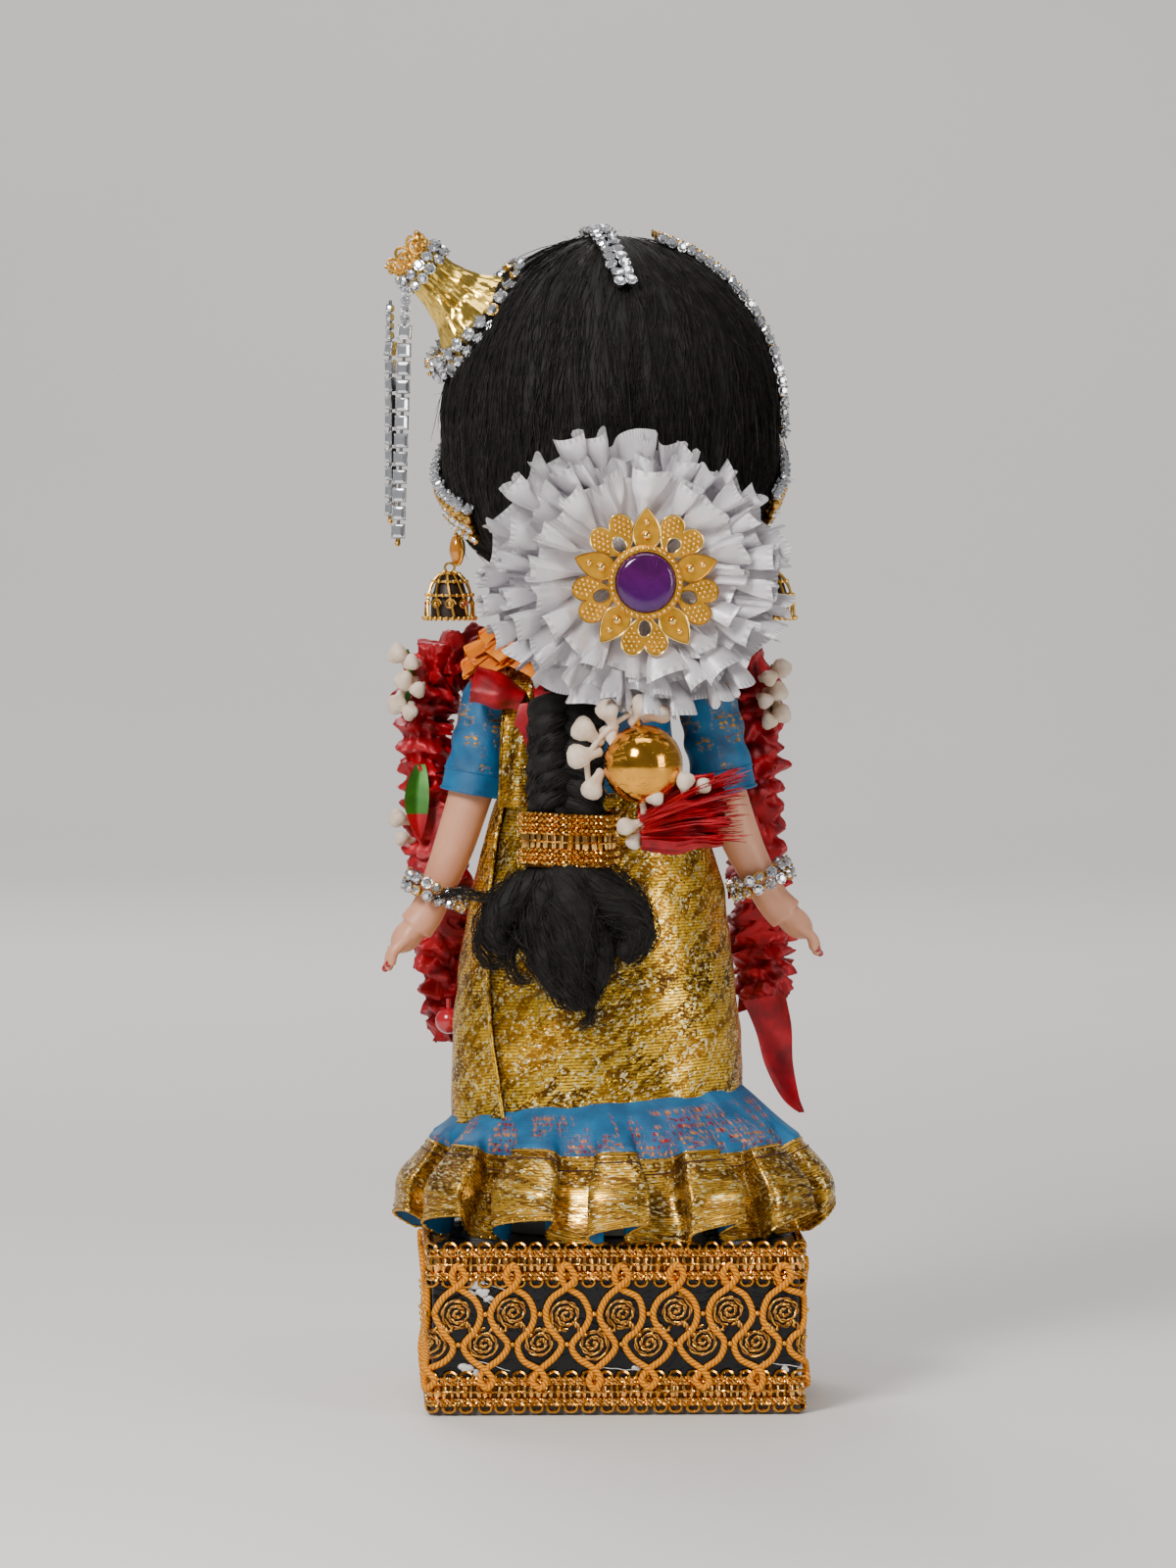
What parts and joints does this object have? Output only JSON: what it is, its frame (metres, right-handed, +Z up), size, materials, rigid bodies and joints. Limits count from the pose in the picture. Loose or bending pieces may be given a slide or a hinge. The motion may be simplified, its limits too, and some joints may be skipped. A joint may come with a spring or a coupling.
{
  "type": "decorative sari doll on a plinth",
  "caption": "Small dressed doll in a brocade sari with wool hair, side bun, ribbon rosette and plait, standing on a braid-trimmed box plinth.",
  "frame": {"origin": "middle of the plinth's underside", "axes": "+Z up, the doll faces -Y, and her left side is at +X"},
  "size_m": [0.0932, 0.0909, 0.2427],
  "materials": {
    "board": "plain board",
    "black_film": "glossy black film, wrinkled, with glue marks",
    "gold_lurex": "woven metallic braid with looped edges",
    "amber_cord": "satin cord in loops",
    "wood": "bare wood",
    "foam": "rolled card and foam, hidden",
    "skin_plastic": "smooth moulded plastic, satin",
    "steel": "plain rod",
    "gold_brocade": "metallic brocade with woven leaf motifs",
    "gold_border": "metallic woven border, pleated",
    "blue_silk": "blue art silk with woven motifs",
    "orange_ribbon": "satin ribbon ruffles",
    "red_ribbon": "ruched satin ribbon",
    "green_leaf": "ribbon leaf with a red tip",
    "cream_bud": "matte moulded buds",
    "black_wool": "brushed wool fibre",
    "gold_foil": "bright gold foil over a form",
    "gold_metal": "gold-plated stampings",
    "rhinestones": "clear stones in metal cups",
    "white_satin": "white satin ribbon with picot edges",
    "felt": "felt disc, hidden",
    "purple_stone": "purple cabochon"
  },
  "bodies": {
    "plinth_and_body": {"plinth_base_board": "board", "plinth_box": "black_film", "plinth_bottom_trim": "gold_lurex", "plinth_cord_braid": "amber_cord", "plinth_top_trim": "gold_lurex", "support_dowel": "wood", "body_core": "foam", "doll_torso": "skin_plastic", "shoulder_axle": "steel", "gold_wrap": "gold_brocade", "blue_underskirt": "blue_silk", "border_flounce": "gold_border", "blouse": "blue_silk", "pallu_strip": "gold_brocade", "neck_garland": "orange_ribbon", "garland_left": "red_ribbon", "garland_right": "red_ribbon", "garland_bead": "red_ribbon", "garland_tail": "red_ribbon", "garland_leaf": "green_leaf", "ribbon_roll_outer": "red_ribbon", "ribbon_roll_inner": "red_ribbon", "shoulder_buds_left": "cream_bud", "shoulder_buds_right": "cream_bud"},
    "left_arm": {"arm_left": "skin_plastic", "sleeve_left": "blue_silk", "cuff_left": "blue_silk"},
    "right_arm": {"arm_right": "skin_plastic", "sleeve_right": "blue_silk", "cuff_right": "blue_silk"},
    "left_bangle": {"bangle_left": "rhinestones"},
    "right_bangle": {"bangle_right": "rhinestones"},
    "head": {"doll_head": "skin_plastic", "hair_cap": "black_wool", "hair_tie": "black_wool", "bun_cone": "gold_foil", "bun_base_trim": "rhinestones", "bun_top_ring": "rhinestones", "bun_crown": "gold_metal", "parting_strip": "rhinestones", "crown_band": "gold_metal", "ear_strip_left": "rhinestones", "ear_strip_right": "rhinestones", "ear_drop_left": "gold_metal", "ear_drop_right": "gold_metal", "rosette_backing": "felt", "rosette": "white_satin", "filigree_flower": "gold_metal", "cabochon": "purple_stone"},
    "front_strand": {"chain_front": "rhinestones"},
    "rear_strand": {"chain_rear": "rhinestones"},
    "left_earring": {"earring_left": "gold_metal"},
    "right_earring": {"earring_right": "gold_metal"},
    "hanging_plait": {"plait": "black_wool", "plait_band": "gold_lurex", "plait_tassel": "black_wool"},
    "pendant": {"gold_bead": "gold_foil", "bud_sprig": "cream_bud", "red_tassel": "red_ribbon"}
  },
  "joints": [
    {"name": "head_turn", "type": "hinge", "parent": "plinth_and_body", "child": "head", "pos_m": [0.0015, 0, 0.16], "axis": [0, 0, 1], "range_deg": [-12, 12]},
    {"name": "left_arm_swing", "type": "hinge", "parent": "plinth_and_body", "child": "left_arm", "pos_m": [0.0242, 0, 0.144], "axis": [1, 0, 0], "range_deg": [-8, 8]},
    {"name": "right_arm_swing", "type": "hinge", "parent": "plinth_and_body", "child": "right_arm", "pos_m": [-0.0192, 0, 0.144], "axis": [1, 0, 0], "range_deg": [-8, 8]},
    {"name": "left_bangle_turn", "type": "hinge", "parent": "left_arm", "child": "left_bangle", "pos_m": [0.0362, 0, 0.1048], "axis": [0.3752, 0, -0.9269], "continuous": true},
    {"name": "right_bangle_turn", "type": "hinge", "parent": "right_arm", "child": "right_bangle", "pos_m": [-0.0313, 0, 0.107], "axis": [-0.4113, 0, -0.9115], "continuous": true},
    {"name": "front_strand_swing", "type": "hinge", "parent": "head", "child": "front_strand", "pos_m": [0.0422, 0.009, 0.2294], "axis": [1, 0, 0], "range_deg": [-4, 20]},
    {"name": "rear_strand_swing", "type": "hinge", "parent": "head", "child": "rear_strand", "pos_m": [0.0454, -0.0014, 0.226], "axis": [1, 0, 0], "range_deg": [-20, 4]},
    {"name": "left_earring_swing", "type": "hinge", "parent": "head", "child": "left_earring", "pos_m": [0.0332, -0.002, 0.1716], "axis": [1, 0, 0], "range_deg": [-15, 15]},
    {"name": "right_earring_swing", "type": "hinge", "parent": "head", "child": "right_earring", "pos_m": [-0.0332, -0.002, 0.1716], "axis": [1, 0, 0], "range_deg": [-15, 15]},
    {"name": "plait_swing", "type": "hinge", "parent": "head", "child": "hanging_plait", "pos_m": [0.0102, 0.0288, 0.1465], "axis": [1, 0, 0], "range_deg": [-1, 12]},
    {"name": "pendant_swing", "type": "hinge", "parent": "head", "child": "pendant", "pos_m": [-0.003, 0.042, 0.143], "axis": [1, 0, 0], "range_deg": [-5, 25]}
  ]
}
